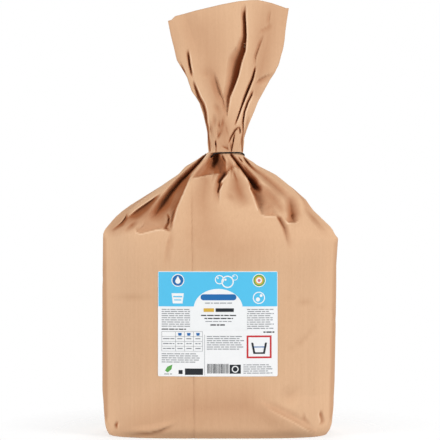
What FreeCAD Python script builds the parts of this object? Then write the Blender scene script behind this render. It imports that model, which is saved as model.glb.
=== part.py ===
import FreeCAD, Part
import bisect
import math
import os

# A kraft paper bag filled with powder. Its neck is gathered by a thin black wire, its mouth
# fans out above the wire, and a paper label is stuck on its front.
# Millimetres, +Z up, the front faces -Y, and the origin is the middle of the foot.

doc = FreeCAD.newDocument("PowderBag")
sheet = doc.addObject("Spreadsheet::Sheet", "Sizes")

SIZES = (
    ("body_width", 240.0, "filled body, side to side"),
    ("body_depth", 132.0, "filled body, front to back"),
    ("wall_height", 190.0, "top of the upright walls"),
    ("shoulder_height", 202.0, "where the bag starts to draw in"),
    ("tie_height", 286.8, "front of the wire"),
    ("foot_radius", 8.0, "rounded edge round the foot"),
    ("foot_taper", 4.0, "how far the walls lean in down to the foot"),
    ("foot_rise", 42.0, "height over which they lean in"),
    ("neck_width", 36.5, "gathered neck, side to side"),
    ("neck_depth", 26.0, "gathered neck, front to back"),
    ("neck_offset", 5.75, "the neck sits right of the middle"),
    ("mouth_width", 126.7, "fanned mouth, corner to corner"),
    ("mouth_depth", 11.0, "fanned mouth, front to back"),
    ("mouth_offset", 8.75, "the fan leans right of the middle"),
    ("mouth_rise", 157.2, "from the wire to the highest point of the mouth"),
    ("mouth_radius", 150.0, "arc of the mouth's edge"),
    ("mouth_peak", 30.5, "side place of the highest point"),
    ("slot_depth", 42.0, "how far the mouth stays open downwards"),
    ("mouth_wall", 1.2, "paper at the mouth, with its doubled edge"),
    ("shoulder_fold", 14.0, "depth of a deep fold on the shoulders"),
    ("fan_fold", 9.5, "depth of a deep fold in the fan"),
    ("neck_fold", 3.2, "depth of a fold in the neck"),
    ("fold_width", 11.0, "reach of a fold to either side of its crease"),
    ("gusset_depth", 18.0, "how far the side gussets tuck in at the shoulders"),
    ("label_width", 118.0, "label, side to side"),
    ("label_height", 104.0, "label, bottom to top"),
    ("label_bottom", 62.8, "lower edge of the label"),
    ("label_offset", -1.5, "the label sits a little to the left"),
    ("label_thickness", 0.25, "label paper with its glue"),
    ("wire_diameter", 1.3, "black tie wire"),
    ("wire_gap", 0.15, "room between the wire and the neck"),
    ("tie_drop", 3.6, "how much lower the wire runs behind the neck"),
    ("twist_length", 10.0, "twisted wire ends behind the neck"),
    ("twist_pitch", 7.0, "length of one turn of the twist"),
    ("twist_gap", 0.05, "room between the twisted ends and the twist's axis"),
)
for row, (alias, value, note) in enumerate(SIZES, 1):
    sheet.set(f"A{row}", note)
    sheet.set(f"B{row}", str(value))
    sheet.setAlias(f"B{row}", alias)
doc.recompute()


def size(alias):
    return float(sheet.get(alias))


def between(stations, place):
    """The value at a place, in straight steps between (place, value) stations."""
    places = [station[0] for station in stations]
    index = min(max(bisect.bisect_right(places, place), 1), len(places) - 1)
    start, first = stations[index - 1]
    end, last = stations[index]
    share = min(max((place - start) / (end - start), 0.0), 1.0)
    return first + (last - first) * share


# The bag's form is described by level and by side place. The level is 0 at the foot, 1 at the
# shoulders, 2 at the wire and 3 at the edge of the mouth. The side place is -1 at the left
# silhouette and 1 at the right one.

# Share of the way out from the neck to the full body, from shoulder to wire.
LEFT_SHOULDER = (
    (0, 1), (0.15, 0.925), (0.3, 0.815), (0.5, 0.59), (0.75, 0.295), (0.9, 0.15), (0.955, 0.09), (0.98, 0)
)
RIGHT_SHOULDER = ((0, 1), (0.15, 0.88), (0.3, 0.755), (0.5, 0.62), (0.75, 0.33), (0.9, 0.09), (0.98, 0))
DEEP_SHOULDER = ((0, 0.93), (0.27, 0.78), (0.62, 0.42), (0.78, 0.21), (0.9, 0.06), (0.98, 0))
# Share of the way out from the neck to the mouth, from wire to mouth.
LEFT_FAN = ((0.015, 0), (0.2, 0.08), (0.4, 0.25), (0.6, 0.58), (0.8, 0.86), (1, 1))
RIGHT_FAN = ((0.015, 0), (0.2, 0.12), (0.4, 0.42), (0.6, 0.77), (0.8, 0.93), (1, 1))
DEEP_FAN = ((0.015, 0), (0.2, 0.35), (0.5, 0.8), (1, 1))
# Squareness of the section: 2 is an ellipse, and more is squarer. The foot is squarest.
FOOT_SQUARENESS = 3.6
SQUARENESS = ((1, 2.9), (1.6, 2.5), (2, 2.3), (3, 2.5))
# How far the side gussets tuck in, as a share of their full depth.
GUSSET = ((0.6, 0), (1.0, 0.12), (1.3, 0.75), (1.6, 1), (1.85, 0.5), (2, 0), (2.2, 0.1), (2.6, 0.5), (3, 0.6))


def foot_inset(height):
    """How far the walls stand in from the body's full size near the foot."""
    radius = size("foot_radius")
    below = max(radius - height, 0.0)
    rounding = radius - math.sqrt(radius ** 2 - below ** 2)
    return rounding + size("foot_taper") * max(1 - height / size("foot_rise"), 0.0)


def section(level):
    """Middle, half width, half depth and squareness of the bag's section at a level."""
    body_half, body_deep = size("body_width") / 2, size("body_depth") / 2
    neck_half, neck_deep = size("neck_width") / 2, size("neck_depth") / 2
    neck_left, neck_right = neck_half - size("neck_offset"), neck_half + size("neck_offset")
    mouth_half = size("mouth_width") / 2
    mouth_left, mouth_right = mouth_half - size("mouth_offset"), mouth_half + size("mouth_offset")
    square = between(SQUARENESS, level)
    if level <= 1:
        height = level * size("shoulder_height")
        square = between(((0, FOOT_SQUARENESS), (size("foot_rise"), square)), height)
        inset = foot_inset(height)
        left = right = body_half - inset
        swell = (body_deep, body_deep * DEEP_SHOULDER[0][1] + neck_deep * (1 - DEEP_SHOULDER[0][1]))
        wall_level = size("wall_height") / size("shoulder_height")
        deep = between(((0, swell[0]), (wall_level, swell[0]), (1, swell[1])), level) - inset
    elif level <= 2:
        left = neck_left + (body_half - neck_left) * between(LEFT_SHOULDER, level - 1)
        right = neck_right + (body_half - neck_right) * between(RIGHT_SHOULDER, level - 1)
        deep = neck_deep + (body_deep - neck_deep) * between(DEEP_SHOULDER, level - 1)
    else:
        left = neck_left + (mouth_left - neck_left) * between(LEFT_FAN, level - 2)
        right = neck_right + (mouth_right - neck_right) * between(RIGHT_FAN, level - 2)
        deep = neck_deep + (size("mouth_depth") / 2 - neck_deep) * between(DEEP_FAN, level - 2)
    return (right - left) / 2, (right + left) / 2, deep, square


def height_at(level, x):
    """Height of a level. In the fan the levels bend up to the arc of the mouth's edge."""
    if level <= 1:
        return level * size("shoulder_height")
    if level <= 2:
        rise = size("tie_height") - size("shoulder_height")
        return size("shoulder_height") + (level - 1) * rise
    radius = size("mouth_radius")
    aside = min(abs(x - size("mouth_peak")), radius)
    edge = size("mouth_rise") - radius + math.sqrt(radius ** 2 - aside ** 2)
    return size("tie_height") + (level - 2) * edge


def place_on_front(side, level):
    """Where a side place and a level lie in the front view."""
    middle, half, _, _ = section(level)
    x = middle + side * half
    return x, height_at(level, x)


# Each fold is a crease drawn in the front view through (side place, level, share of depth),
# with its full depth and its reach to the left and to the right. A short reach makes the paper
# of that side lap over the crease. A negative depth is a ridge.
DEEP, WIDE = size("shoulder_fold"), size("fold_width")
LEFT_POCKET = ((-0.8, 1.94, 0.3), (-0.74, 1.8, 0.8), (-0.7, 1.52, 1), (-0.65, 1.37, 0.85), (-0.63, 1.17, 0))
LEFT_FOLDS = (
    (LEFT_POCKET, DEEP, 0.45, 1.15),
    (((-0.63, 1.7, 0), (-0.53, 1.52, 1), (-0.45, 1.32, 1), (-0.41, 1.11, 0)), DEEP / 4, 0.5, 0.12),
    (((-0.8, 1.5, 0), (-0.82, 1.43, 0.7), (-0.83, 1.36, 1), (-0.87, 1.25, 0)), DEEP / 2, 0.1, 0.7),
    (((-0.75, 1.1, 0), (-0.67, 1.03, 0.5), (-0.51, 1.09, 1), (-0.41, 1.04, 0)), DEEP * 0.3, 0.1, 1.2),
    (((-0.68, 1.91, 0.3), (-0.63, 1.74, 0.8), (-0.53, 1.53, 1), (-0.41, 1.04, 0)), -DEEP / 5, 0.1, 0.9),
)
MIDDLE_FOLDS = (
    (((-0.4, 1.98, 0.8), (-0.32, 1.92, 1), (-0.3, 1.83, 0.8), (-0.31, 1.71, 0)), DEEP * 0.65, 0.8, 1),
    (((-0.6, 1.7, 0), (-0.38, 1.72, 1), (-0.24, 1.74, 1), (0, 1.74, 0)), DEEP * 0.35, 0.1, 1.2),
    (((0.02, 1.76, 0), (-0.05, 1.7, 1), (-0.12, 1.59, 0)), DEEP * 0.35, 0.4, 0.15),
    (((0.21, 1.82, 0), (0, 1.72, 0.8), (-0.06, 1.6, 1), (-0.01, 1.36, 0)), DEEP * 0.35, 0.6, 0.1),
    (((0.33, 1.96, 0.3), (0.42, 1.82, 0.7), (0.42, 1.65, 1), (0.55, 1.55, 0)), DEEP * 0.85, 0.15, 0.55),
)
RIGHT_FOLDS = (
    (((0.39, 1.56, 0.9), (0.4, 1.46, 1), (0.42, 1.35, 0.8), (0.44, 1.24, 0)), DEEP * 0.65, 0.12, 2),
    (((0.42, 1.26, 0), (0.47, 1.24, 0.9), (0.54, 1.23, 1), (0.6, 1.24, 0)), DEEP / 4, 0.1, 1.4),
    (((0.84, 1.93, 0.6), (0.76, 1.85, 1), (0.7, 1.71, 0)), DEEP * 0.35, 0.12, 0.28),
    (((0.75, 1.83, 0), (0.73, 1.7, 1), (0.77, 1.54, 1), (0.83, 1.4, 0)), DEEP / 5, 0.6, 0.4),
    (((0.83, 1.48, 0), (0.78, 1.35, 0.9), (0.73, 1.24, 1), (0.69, 1.16, 0)), DEEP * 0.4, 0.5, 1),
    (((0.64, 1.2, 0), (0.65, 1.16, 1), (0.71, 1.15, 0.9), (0.78, 1.19, 0)), DEEP * 0.3, 0.1, 1.3),
    (((0.57, 1.24, 0), (0.58, 1.19, 1), (0.57, 1.09, 0.9), (0.58, 0.95, 0)), DEEP / 5, 0.15, 0.45),
)
SHOULDER_FOLDS = LEFT_FOLDS + MIDDLE_FOLDS + RIGHT_FOLDS
BACK_FOLDS = (
    (((-0.55, 1.95, 0.3), (-0.6, 1.75, 1), (-0.62, 1.4, 0.8), (-0.66, 1.1, 0)), DEEP * 0.8, 0.7, 1.3),
    (((-0.18, 1.95, 0.3), (-0.2, 1.8, 0.9), (-0.24, 1.5, 0.6), (-0.3, 1.25, 0)), DEEP * 0.6, 1.3, 0.8),
    (((0.2, 1.95, 0.3), (0.16, 1.75, 1), (0.2, 1.45, 0.7), (0.24, 1.18, 0)), DEEP * 0.65, 0.8, 1.2),
    (((0.6, 1.95, 0.3), (0.62, 1.75, 1), (0.64, 1.45, 0.8), (0.7, 1.12, 0)), DEEP * 0.8, 1.2, 0.8),
)
FAN, NECK = size("fan_fold"), size("neck_fold")
FAN_LAP = ((0.28, 3, 0.1), (0.3, 2.9, 0.6), (0.3, 2.7, 1), (0.18, 2.5, 1), (0.03, 2.37, 0.5), (0, 2.23, 0))
FAN_FOLDS = (
    (FAN_LAP, FAN, 1.3, 0.1),
    (((0.52, 2.58, 0), (0.58, 2.51, 1), (0.52, 2.32, 0.7), (0.43, 2.15, 0)), FAN / 2, 0.2, 0.4),
    (((0.7, 2.42, 0), (0.67, 2.33, 1), (0.78, 2.2, 0.7), (0.8, 2.1, 0)), FAN * 0.35, 0.3, 0.12),
    (((-0.79, 2.75, 0), (-0.84, 2.65, 1), (-0.92, 2.53, 0)), FAN * 0.45, 0.4, 0.1),
    (((-0.92, 2.51, 0), (-0.93, 2.38, 1), (-0.83, 2.28, 0.9), (-0.77, 2.13, 0)), FAN * 0.4, 0.3, 0.12),
    (((-0.42, 2.53, 0), (-0.33, 2.4, 1), (-0.06, 2.27, 0)), FAN * 0.3, 0.6, 0.4),
    (((-0.5, 3, 0.8), (-0.45, 2.75, 0.5), (-0.42, 2.6, 0)), FAN * 0.2, 1.2, 1.2),
    (((0.84, 3, 0.6), (0.82, 2.7, 0.4), (0.8, 2.5, 0)), FAN * 0.2, 1.2, 1.2),
)
NECK_FOLDS = tuple(
    (((side, 2.32, 0), (side, 2.16, 1), (side, 2.04, 0)), NECK, 0.25, 0.25)
    for side in (-0.62, -0.22, 0.2, 0.6)
) + tuple(
    (((side, 1.98, 0.2), (side, 1.9, 1), (side * 0.9, 1.78, 0)), NECK, 0.28, 0.28)
    for side in (-0.2, 0.14, 0.62)
)


class Fold:
    """A crease in the front view, which says how far it moves the paper near it."""

    def __init__(self, crease, depth, left_reach, right_reach):
        self.points = [place_on_front(side, level) + (share,) for side, level, share in crease]
        self.depth = depth
        self.left = left_reach * WIDE
        self.right = right_reach * WIDE
        reach = max(self.left, self.right)
        self.lowest = min(point[1] for point in self.points) - reach
        self.highest = max(point[1] for point in self.points) + reach

    def push(self, x, z):
        if not self.lowest < z < self.highest:
            return 0.0
        best = None
        for (x0, z0, a0), (x1, z1, a1) in zip(self.points, self.points[1:]):
            run_x, run_z = x1 - x0, z1 - z0
            length = math.hypot(run_x, run_z)
            along = ((x - x0) * run_x + (z - z0) * run_z) / length ** 2
            along = min(max(along, 0.0), 1.0)
            off_x, off_z = x - x0 - along * run_x, z - z0 - along * run_z
            away = math.hypot(off_x, off_z)
            if best is None or away < best[0]:
                best = (away, off_x * -run_z + off_z * run_x, a0 + (a1 - a0) * along)
        away, side, share = best
        reach = self.right if side > 0 else self.left
        return self.depth * share * max(1 - away / reach, 0.0)


FRONT = [Fold(*fold) for fold in SHOULDER_FOLDS]
BACK = [Fold(*fold) for fold in BACK_FOLDS]
THROUGH = [Fold(*fold) for fold in FAN_FOLDS + NECK_FOLDS]

COLUMNS = 96
SECTION_STEPS = 8 * COLUMNS


def ring(level, inset=0.0):
    """The points of one section, evenly spaced from the left edge round by the front."""
    middle, half, deep, square = section(level)
    outline = []
    for step in range(SECTION_STEPS + 1):
        angle = math.pi + 2 * math.pi * step / SECTION_STEPS
        across, along = math.cos(angle), math.sin(angle)
        x = middle + half * math.copysign(abs(across) ** (2 / square), across)
        y = deep * math.copysign(abs(along) ** (2 / square), along)
        outline.append((x, y))
    travelled = [0.0]
    for (x0, y0), (x1, y1) in zip(outline, outline[1:]):
        travelled.append(travelled[-1] + math.hypot(x1 - x0, y1 - y0))
    points = []
    for column in range(COLUMNS):
        wanted = travelled[-1] * column / COLUMNS
        index = min(bisect.bisect_right(travelled, wanted), SECTION_STEPS)
        share = (wanted - travelled[index - 1]) / (travelled[index] - travelled[index - 1])
        (x0, y0), (x1, y1) = outline[index - 1], outline[index]
        points.append((x0 + (x1 - x0) * share, y0 + (y1 - y0) * share))
    return [folded(level, x, y, middle, half, deep, inset) for x, y in points]


def folded(level, x, y, middle, half, deep, inset):
    """A point of the smooth section, moved by the folds, the gusset and the wire's slant."""
    z = height_at(level, x)
    facing = min(max(1.6 * abs(y) / deep - 0.2, 0.0), 1.0)
    tuck = between(GUSSET, level) * min(size("gusset_depth"), half * 0.3)
    gusset = tuck * max(1 - abs(y) / (0.6 * deep), 0.0)
    moved_x = x - math.copysign(gusset + inset * (1 - abs(y) / deep) ** 2, x - middle)
    moved_y = y * (1 - inset / deep)
    if level < 2:
        folds = FRONT if y < 0 else BACK
        push = sum(fold.push(x, z) for fold in folds) * facing
        push = min(push, deep * 0.6)
        moved_y -= math.copysign(push, y)
    through = sum(fold.push(x, z) for fold in THROUGH)
    if level > 2:
        moved_y += through
    else:
        moved_y -= math.copysign(min(through, deep * 0.3) * facing, y)
    slant = max(1 - abs(level - 2) / 0.45, 0.0)
    drop = size("tie_drop") * (moved_y + size("neck_depth") / 2) / size("neck_depth")
    return moved_x, moved_y, z - slant * min(max(drop, 0.0), size("tie_drop"))


def wall_levels():
    """Levels of the rings, close together where the form turns and where the folds are deep."""
    shoulder = size("shoulder_height")
    foot = [size("foot_radius") * share / shoulder for share in (0, 0.08, 0.28, 0.62, 1)]
    walls = [size("foot_rise") * 0.43 / shoulder, size("foot_rise") / shoulder]
    walls.append(size("wall_height") / shoulder)
    shoulders = [1 + step / 19 for step in range(19)]
    pinch = [1.96, 1.98, 2.0, 2.015]
    neck = [2.015 + 0.485 * (step / 9) ** 1.1 for step in range(1, 10)]
    fan = [2.5 + step / 14 for step in range(1, 8)]
    return foot + walls + shoulders + pinch + neck + fan


def bag_shape():
    rings = [ring(level) for level in wall_levels()]
    slot = size("slot_depth") / size("mouth_rise")
    for share in (0.0, 0.35, 0.7, 1.0):
        level = 3 - slot * share
        pinch = share * 0.5 * (section(level)[2] - size("mouth_wall"))
        rings.append(ring(level, size("mouth_wall") + pinch))
    points = [FreeCAD.Vector(*point) for points in rings for point in points]
    facets = []
    for lower in range(len(rings) - 1):
        for column in range(COLUMNS):
            beside = (column + 1) % COLUMNS
            a, b = lower * COLUMNS + column, lower * COLUMNS + beside
            c, d = a + COLUMNS, b + COLUMNS
            if points[a].distanceToPoint(points[d]) < points[b].distanceToPoint(points[c]):
                facets += [(a, b, d), (a, d, c)]
            else:
                facets += [(a, b, c), (b, d, c)]
    bottom_of_slot = (len(rings) - 1) * COLUMNS
    facets += strip(0, outwards=True)
    facets += strip(bottom_of_slot, outwards=False)
    shell = Part.Shape()
    shell.makeShapeFromMesh((points, facets), 0.001)
    return Part.Solid(shell.Shells[0])


def strip(first, outwards):
    """Closes a ring across, from its front columns to its back ones."""
    facets = []
    for column in range(COLUMNS // 2):
        front, back = first + column, first + (COLUMNS - column) % COLUMNS
        next_front, next_back = first + column + 1, first + COLUMNS - column - 1
        pair = [(front, back, next_back), (front, next_back, next_front)]
        facets += [facet for facet in pair if len(set(facet)) == 3]
    return facets if outwards else [facet[::-1] for facet in facets]


bag = doc.addObject("Part::Feature", "paper_bag")
bag.Label = "paper_bag"
bag.Shape = bag_shape()
bag.Placement = FreeCAD.Placement()


# The label is a strip of paper that follows the upright front of the bag.

def front_line(left, right):
    """The front of the upright wall between two side places, with the wall's own corners."""
    level = (size("foot_rise") + size("wall_height")) / 2 / size("shoulder_height")
    wall = [(x, y) for x, y, z in ring(level) if y < 0]
    wall.sort()
    places = [x for x, y in wall]

    def depth(x):
        return between(wall, x)

    inner = [x for x in places if left < x < right]
    return [(x, depth(x)) for x in [left] + inner + [right]]


def label_outline():
    left = size("label_offset") - size("label_width") / 2
    back = front_line(left, left + size("label_width"))
    front = [(x, y - size("label_thickness")) for x, y in reversed(back)]
    corners = [FreeCAD.Vector(x, y, 0) for x, y in back + front]
    return Part.Face(Part.makePolygon(corners + corners[:1]))


outline = doc.addObject("Part::Feature", "label_outline")
outline.Shape = label_outline()
outline.Placement = FreeCAD.Placement()
outline.setExpression("Placement.Base.z", "Sizes.label_bottom")
label = doc.addObject("Part::Extrusion", "label")
label.Label = "label"
label.Base = outline
label.DirMode = "Custom"
label.Dir = FreeCAD.Vector(0, 0, 1)
label.Solid = False
label.setExpression("LengthFwd", "Sizes.label_height")


# The wire runs straight across the front of the neck and round behind it, where its two ends
# are twisted together. Its section is drawn with five sides.

WIRE_SIDES = 5
wire_radius = size("wire_diameter") / 2
slant = math.atan2(size("tie_drop"), size("neck_depth"))
loop_half = size("neck_width") / 2 + size("wire_gap") + wire_radius
loop_deep = size("neck_depth") / 2 / math.cos(slant) + size("wire_gap") + wire_radius


def wire_loop():
    """The middle line of the wire round the neck, drawn flat: four arcs and the runs between."""
    corner = 0.8 * loop_deep
    arcs = []
    for turn, (across, along) in enumerate(((1, -1), (1, 1), (-1, 1), (-1, -1))):
        middle = FreeCAD.Vector(across * (loop_half - corner), along * (loop_deep - corner), 0)
        start = math.pi / 2 * (turn - 1)
        angles = (start, start + math.pi / 4, start + math.pi / 2)
        spots = [middle + FreeCAD.Vector(math.cos(a), math.sin(a), 0) * corner for a in angles]
        arcs.append(Part.Arc(*spots).toShape())
    runs = []
    for arc, following in zip(arcs, arcs[1:] + arcs[:1]):
        end, start = arc.valueAt(arc.LastParameter), following.valueAt(following.FirstParameter)
        runs += [arc, Part.makeLine(end, start)]
    return Part.Wire(Part.__sortEdges__(runs))


def wire_section(name, placement):
    """The wire's section as a document object, its size bound to the sheet."""
    outline = doc.addObject("Part::RegularPolygon", name)
    outline.Polygon = WIRE_SIDES
    outline.setExpression("Circumradius", "Sizes.wire_diameter / 2")
    outline.Placement = placement
    return outline


def swept_wire(name, outline, spine):
    """A length of wire as a document object: the section swept along the spine."""
    sweep = doc.addObject("Part::Sweep", name)
    sweep.Sections = [outline]
    sweep.Spine = (spine, [f"Edge{number}" for number in range(1, len(spine.Shape.Edges) + 1)])
    sweep.Solid = True
    sweep.Frenet = True
    return sweep


neck_middle = FreeCAD.Vector(size("neck_offset"), 0, size("tie_height") - size("tie_drop") / 2)
round_neck = FreeCAD.Placement(
    neck_middle, FreeCAD.Rotation(FreeCAD.Vector(-1, 0, 0), math.degrees(slant))
)
loop_path = doc.addObject("Part::Feature", "loop_path")
loop_path.Shape = wire_loop()
loop_path.Placement = round_neck
doc.recompute()
across_wire = FreeCAD.Placement(
    FreeCAD.Vector(0, -loop_deep, 0), FreeCAD.Rotation(FreeCAD.Vector(0, 1, 0), 90)
)
wire_lengths = [swept_wire("loop", wire_section("loop_section", round_neck * across_wire), loop_path)]

# The two ends leave the loop side by side at its back and turn round each other.
TWIST_FALL = math.radians(35)
twist_axis = FreeCAD.Vector(0, math.cos(TWIST_FALL), -math.sin(TWIST_FALL))
twist_start = round_neck.multVec(FreeCAD.Vector(0, loop_deep, 0))
twist_turn = FreeCAD.Rotation(FreeCAD.Vector(1, 0, 0), FreeCAD.Vector(), twist_axis, "ZXY")
twist_radius = wire_radius + size("twist_gap")
twist_lead = math.atan2(2 * math.pi * twist_radius, size("twist_pitch"))
for number, turned in enumerate((0, 180), 1):
    strand_place = FreeCAD.Placement(twist_start, twist_turn) * FreeCAD.Placement(
        FreeCAD.Vector(), FreeCAD.Rotation(FreeCAD.Vector(0, 0, 1), turned)
    )
    helix = doc.addObject("Part::Helix", f"strand_path_{number}")
    helix.setExpression("Pitch", "Sizes.twist_pitch")
    helix.setExpression("Height", "Sizes.twist_length")
    helix.setExpression("Radius", "Sizes.wire_diameter / 2 + Sizes.twist_gap")
    helix.Placement = strand_place
    doc.recompute()
    across_strand = FreeCAD.Placement(
        FreeCAD.Vector(twist_radius, 0, 0),
        FreeCAD.Rotation(FreeCAD.Vector(-1, 0, 0), math.degrees(twist_lead)),
    )
    outline = wire_section(f"strand_section_{number}", strand_place * across_strand)
    wire_lengths.append(swept_wire(f"strand_{number}", outline, helix))

wire_tie = doc.addObject("Part::MultiFuse", "wire_tie")
wire_tie.Label = "wire_tie"
wire_tie.Shapes = wire_lengths
doc.recompute()

for thing in doc.Objects:
    failed = {"Invalid", "Error"} & set(thing.State)
    assert not failed, f"{thing.Name} is {thing.State}"

NODES = (bag, label, wire_tie)
for node in NODES:
    shape = node.Shape
    assert not shape.isNull() and shape.isValid(), f"{node.Label} has no valid shape"
    assert len(shape.Solids) == 1 and shape.Volume > 0, f"{node.Label} is not one solid"
    print(node.Label, "volume", round(shape.Volume), "faces", len(shape.Faces))

os.makedirs("parts", exist_ok=True)
for node in NODES:
    node.Shape.exportStep(f"parts/{node.Label}.step")
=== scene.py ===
# %% [markdown]
# A kraft paper bag of washing powder. It is filled and stands on its foot, its neck is gathered
# by a thin black wire, its mouth fans out above the wire, and a printed label is stuck on its
# front. The CAD frame gives the places, in metres. The measures here are in millimetres.

import math

import bmesh
import bpy
import numpy as np
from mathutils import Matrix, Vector


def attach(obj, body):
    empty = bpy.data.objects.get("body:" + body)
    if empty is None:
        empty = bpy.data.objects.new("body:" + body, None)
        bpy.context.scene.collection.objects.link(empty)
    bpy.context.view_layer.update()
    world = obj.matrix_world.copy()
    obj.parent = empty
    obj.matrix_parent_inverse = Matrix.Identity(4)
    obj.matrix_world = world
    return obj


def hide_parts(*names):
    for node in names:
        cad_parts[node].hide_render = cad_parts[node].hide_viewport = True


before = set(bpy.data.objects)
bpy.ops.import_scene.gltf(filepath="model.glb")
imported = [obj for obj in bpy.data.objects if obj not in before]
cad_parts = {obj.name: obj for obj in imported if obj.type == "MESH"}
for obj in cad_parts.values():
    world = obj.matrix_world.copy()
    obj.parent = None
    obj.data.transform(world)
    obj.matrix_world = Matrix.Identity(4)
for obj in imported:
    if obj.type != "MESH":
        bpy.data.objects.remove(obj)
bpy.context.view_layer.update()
MM = 0.001

# %% [markdown]
# The picture is a product photograph, taken level and from some way off, so the bag looks almost
# as flat as a drawing. The camera is set so that one pixel of the 440 pixel picture is 1.03 mm
# in the plane through the middle of the bag. With that, a place in the picture can be turned
# into a place on the bag's front.

# %% Camera
PICTURE = 440
MIDDLE_PX = PICTURE / 2
MM_PER_PX = 1.03
EYE_HEIGHT = 217.3
EYE_SIDE = 0.5
EYE_DISTANCE = 1600.0
SENSOR = 36.0

camera_data = bpy.data.cameras.new("camera")
camera_data.sensor_width = SENSOR
camera_data.lens = SENSOR * EYE_DISTANCE / (PICTURE * MM_PER_PX)
camera = bpy.data.objects.new("camera", camera_data)
camera.location = (EYE_SIDE * MM, -EYE_DISTANCE * MM, EYE_HEIGHT * MM)
camera.rotation_euler = (math.radians(90), 0, 0)
bpy.context.collection.objects.link(camera)
bpy.context.scene.camera = camera


def from_picture(px, py, nearer=0.0):
    """Side place and height in mm of a pixel, on a surface that is nearer than the middle."""
    scale = MM_PER_PX * (1 - nearer / EYE_DISTANCE)
    return (px - MIDDLE_PX) * scale + EYE_SIDE, EYE_HEIGHT + (MIDDLE_PX - py) * scale


print("lens", round(camera_data.lens, 1), "mm")

# %% [markdown]
# The floor is a round white sheet. Its rim fades out into the white of the studio, so no line
# shows where it ends, whichever way the bag is looked at.

# %% Floor, lights and world
def make_object(name, bm, *materials):
    """A finished bmesh as an object at the origin, with its materials."""
    mesh = bpy.data.meshes.new(name)
    bm.to_mesh(mesh)
    bm.free()
    thing = bpy.data.objects.new(name, mesh)
    bpy.context.collection.objects.link(thing)
    for material in materials:
        mesh.materials.append(material)
    return thing


FLOOR_RADIUS = 0.26
bm = bmesh.new()
bmesh.ops.create_circle(bm, cap_ends=True, segments=96, radius=FLOOR_RADIUS)
floor = make_object("white_floor", bm)


def area_light(name, place, aim, size, power):
    data = bpy.data.lights.new(name, "AREA")
    data.shape = "RECTANGLE"
    data.size, data.size_y = size
    data.energy = power
    light = bpy.data.objects.new(name, data)
    bpy.context.collection.objects.link(light)
    light.location = place
    way = np.array(aim) - np.array(place)
    light.rotation_euler = Vector(way).to_track_quat("-Z", "Y").to_euler()
    return light


area_light("left_softbox", (-1.33, -0.84, 0.45), (0, 0, 0.2), (0.6, 0.9), 20.6)
area_light("right_softbox", (1.33, -0.84, 0.65), (0, 0, 0.2), (0.6, 0.9), 25)
area_light("top_softbox", (0.0, -0.45, 1.6), (0, 0, 0.2), (1.0, 0.6), 1.2)
area_light("back_softbox", (0.0, 1.5, 0.9), (0, 0, 0.2), (1.2, 0.8), 15)
world = bpy.data.worlds.new("studio")
world.use_nodes = True
nodes, links = world.node_tree.nodes, world.node_tree.links
fill = nodes["Background"]
fill.inputs["Color"].default_value = (1, 1, 1, 1)
fill.inputs["Strength"].default_value = 0.2
seen = nodes.new("ShaderNodeBackground")
seen.inputs["Color"].default_value = (1, 1, 1, 1)
seen.inputs["Strength"].default_value = 1.0
ray = nodes.new("ShaderNodeLightPath")
either = nodes.new("ShaderNodeMixShader")
links.new(ray.outputs["Is Camera Ray"], either.inputs[0])
links.new(fill.outputs[0], either.inputs[1])
links.new(seen.outputs[0], either.inputs[2])
links.new(either.outputs[0], nodes["World Output"].inputs["Surface"])
bpy.context.scene.world = world
bpy.context.scene.view_settings.view_transform = "Standard"

# %% [markdown]
# A material is a small sum of patterns. Written as nodes, such sums get long, so one small class
# wraps a socket and lets Python's own signs add the maths nodes.

# %% Shader maths
class Wire:
    """An output socket that can be added, multiplied and compared like a number."""

    def __init__(self, tree, socket):
        self.tree, self.socket = tree, socket

    def maths(self, operation, first, second):
        node = self.tree.nodes.new("ShaderNodeMath")
        node.operation = operation
        for slot, value in enumerate((first, second)):
            if isinstance(value, Wire):
                self.tree.links.new(value.socket, node.inputs[slot])
            else:
                node.inputs[slot].default_value = value
        return Wire(self.tree, node.outputs[0])

    def __add__(self, other):
        return self.maths("ADD", self, other)

    def __sub__(self, other):
        return self.maths("SUBTRACT", self, other)

    def __rsub__(self, other):
        return self.maths("SUBTRACT", other, self)

    def __mul__(self, other):
        return self.maths("MULTIPLY", self, other)

    __radd__, __rmul__ = __add__, __mul__


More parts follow.
